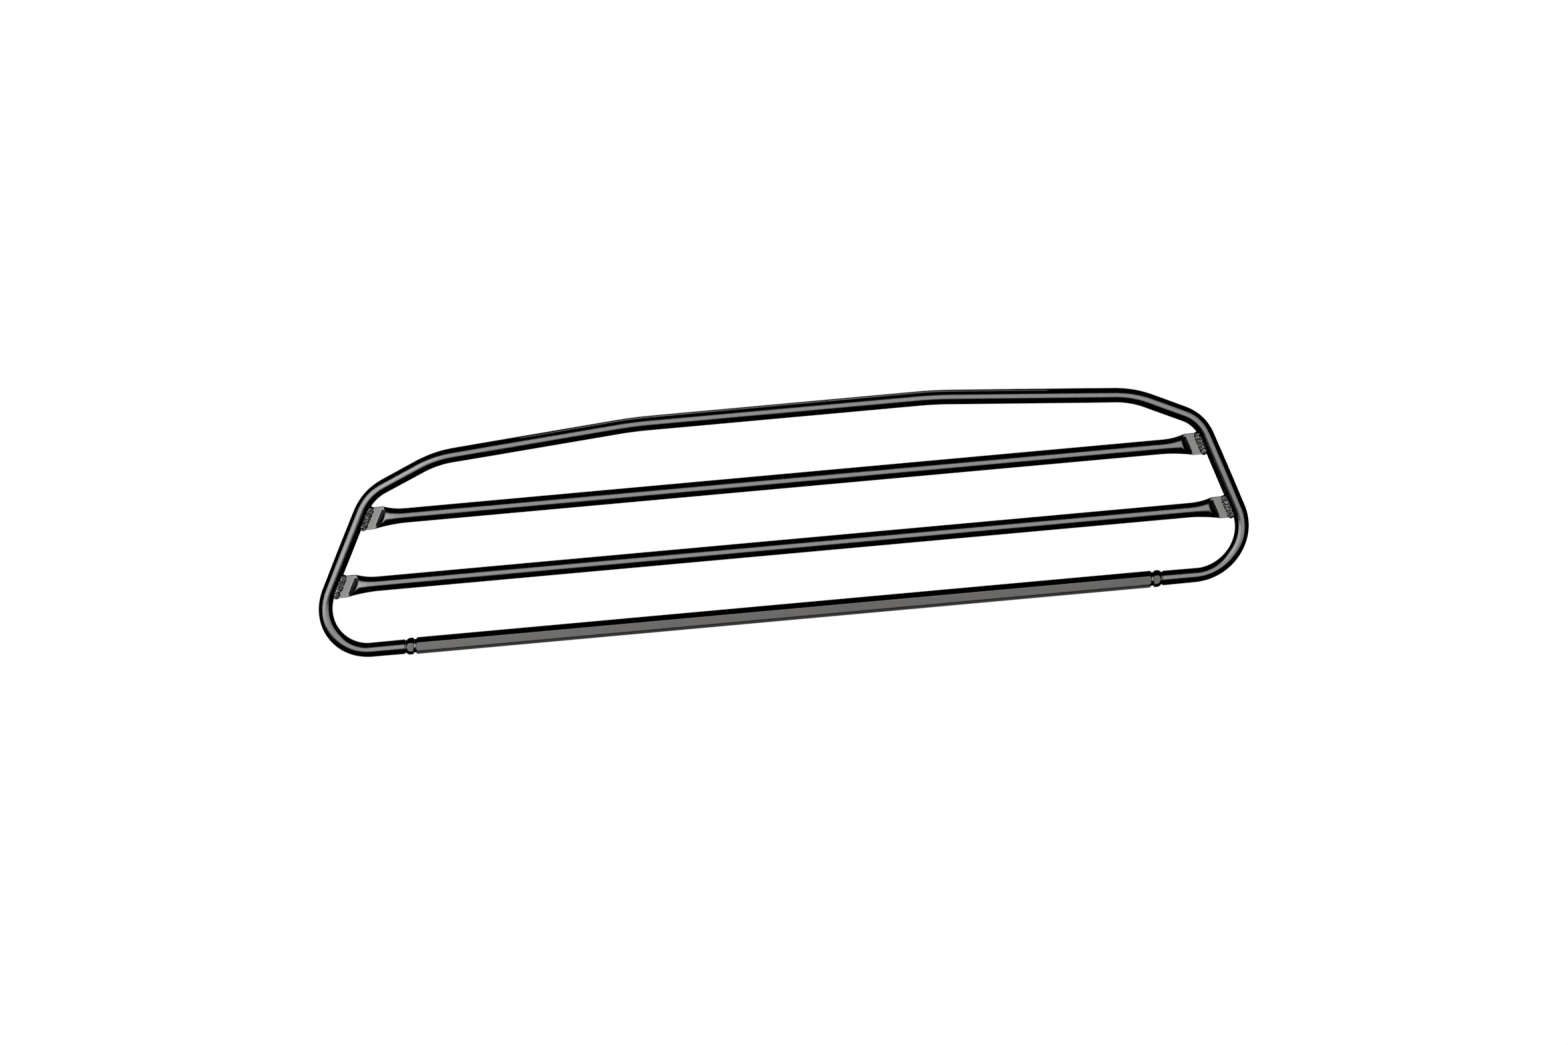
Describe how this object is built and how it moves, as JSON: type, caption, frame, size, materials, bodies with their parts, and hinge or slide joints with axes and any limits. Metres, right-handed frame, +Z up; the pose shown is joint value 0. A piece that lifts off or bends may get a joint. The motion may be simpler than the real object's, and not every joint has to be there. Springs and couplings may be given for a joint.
{
  "type": "folding luggage rack",
  "caption": "Welded tube luggage rack panel that folds up about a hexagonal mounting bar along its lower edge.",
  "frame": {"origin": "middle of the hexagonal bar's lower flat, which the open rack rests on", "axes": "+X along the hexagonal bar and the hinge axis, +Y from the bar across the rack towards its top run, +Z up"},
  "size_m": [0.8016, 0.1902, 0.013],
  "materials": {
    "tube": "satin-gloss black powder coat",
    "bar": "satin black powder coat on machined steel",
    "weld": "satin-gloss black powder coat over weld ripple",
    "bush": "black acetal, turned"
  },
  "bodies": {
    "bar": {"hex_bar": "bar", "left_pivot_bush": "bush", "right_pivot_bush": "bush"},
    "frame": {"outer_tube": "tube", "upper_crossbar": "tube", "lower_crossbar": "tube", "left_pivot_fitting": "bar", "right_pivot_fitting": "bar", "left_pivot_weld": "weld", "right_pivot_weld": "weld", "upper_left_weld_top": "weld", "upper_left_weld_bottom": "weld", "upper_right_weld_top": "weld", "upper_right_weld_bottom": "weld", "lower_left_weld_top": "weld", "lower_left_weld_bottom": "weld", "lower_right_weld_top": "weld", "lower_right_weld_bottom": "weld"}
  },
  "joints": [
    {"name": "frame_fold", "type": "hinge", "parent": "bar", "child": "frame", "pos_m": [0, 0, 0.0065], "axis": [1, 0, 0], "range_deg": [0, 90]}
  ]
}
